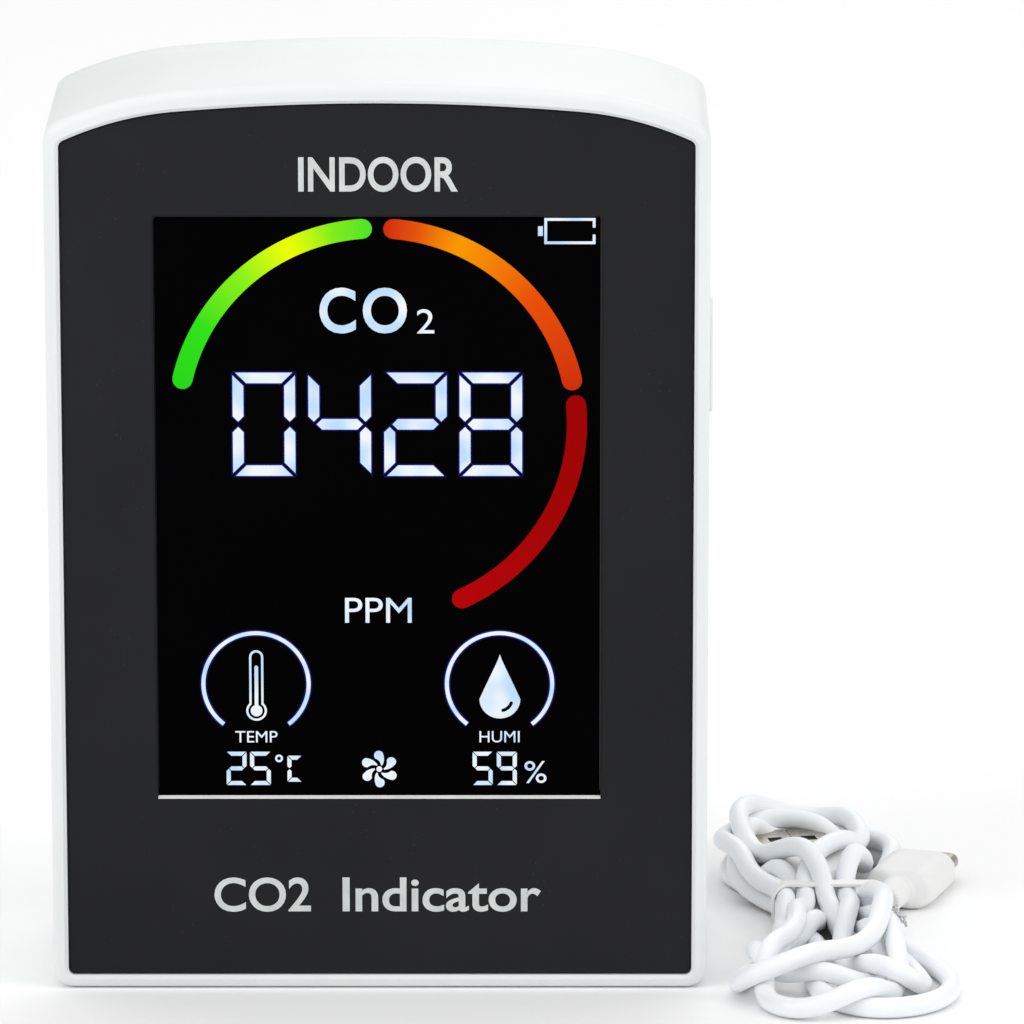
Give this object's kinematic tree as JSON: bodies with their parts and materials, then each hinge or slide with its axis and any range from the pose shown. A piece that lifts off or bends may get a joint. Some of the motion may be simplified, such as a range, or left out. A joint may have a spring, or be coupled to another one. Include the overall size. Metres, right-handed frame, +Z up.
{
  "type": "carbon dioxide monitor",
  "caption": "Upright desktop air monitor with a dark framed display, side button, rear fan grille, charging socket and a tied charging cable.",
  "frame": {"origin": "middle of the flat base that the casing stands on, halfway between its sides and between its front rim and its back cover", "axes": "+Z up towards the arched top, -Y out of the display, +X to the right of someone who reads the display"},
  "size_m": [0.1345, 0.0875, 0.134],
  "materials": {
    "white_shell": "satin white moulded plastic",
    "dark_panel": "fine matte charcoal",
    "display_glass": "smooth black window",
    "lcd_glass": "dark display glass",
    "light_guide": "clear to milky light guide",
    "black_plastic": "black moulded plastic",
    "tinned_metal": "tinned",
    "steel": "zinc plated",
    "circuit_board": "green solder mask",
    "chip_black": "black epoxy",
    "ferrite": "dark grey ferrite",
    "switch_stem": "moulded stem",
    "white_button": "satin white moulded plastic",
    "gilt_metal": "gilt plated",
    "filter_membrane": "white porous membrane",
    "copper_winding": "enamelled copper",
    "lead_insulation": "soft insulation",
    "ivory_plastic": "ivory moulded plastic",
    "cell_wrap": "shrink wrap",
    "cable_jacket": "smooth satin white jacket",
    "tie_sleeve": "white sleeve",
    "plug_steel": "drawn steel",
    "plug_white": "satin white moulded plastic"
  },
  "bodies": {
    "casing": {"front_shell": "white_shell", "back_cover": "white_shell", "case_screws": "steel", "front_panel": "dark_panel", "display_lens": "display_glass", "lcd_cell": "lcd_glass", "lcd_backlight": "light_guide", "lcd_holder": "black_plastic", "display_pins": "tinned_metal", "main_board": "circuit_board", "board_screws": "steel", "processor_chip": "chip_black", "charger_chip": "chip_black", "power_inductor": "ferrite", "buzzer": "black_plastic", "usb_socket_shell": "steel", "usb_socket_tongue": "black_plastic", "switch_body": "black_plastic", "co2_sensor_board": "circuit_board", "co2_sensor_chamber": "gilt_metal", "co2_sensor_filter": "filter_membrane", "co2_sensor_pins": "tinned_metal", "climate_board": "circuit_board", "climate_sensor": "chip_black", "climate_pins": "tinned_metal", "fan_frame": "black_plastic", "fan_stator": "copper_winding", "fan_leads": "lead_insulation", "fan_socket": "ivory_plastic", "battery_cell": "cell_wrap", "battery_holder": "black_plastic", "battery_contacts": "tinned_metal", "cable_hank": "cable_jacket", "cable_tie": "tie_sleeve", "usb_a_shell": "plug_steel", "usb_a_insert": "plug_white", "usb_a_grip": "plug_white", "usb_c_shell": "plug_steel", "usb_c_grip": "plug_white"},
    "button": {"side_button": "white_button"},
    "plunger": {"switch_plunger": "switch_stem"},
    "rotor": {"fan_rotor": "black_plastic"}
  },
  "joints": [
    {"name": "button_press", "type": "slide", "parent": "casing", "child": "button", "axis": [-1, 0, 0], "range_m": [0, 0.0003], "stiffness_N_per_m": 300},
    {"name": "plunger_press", "type": "slide", "parent": "casing", "child": "plunger", "axis": [-1, 0, 0], "range_m": [0, 0.0003]},
    {"name": "fan_spin", "type": "hinge", "parent": "casing", "child": "rotor", "pos_m": [0.02, 0.013, 0.098], "axis": [0, 1, 0], "continuous": true}
  ],
  "couplings": [
    {"joint": "plunger_press", "follows": "button_press", "ratio": 1}
  ]
}
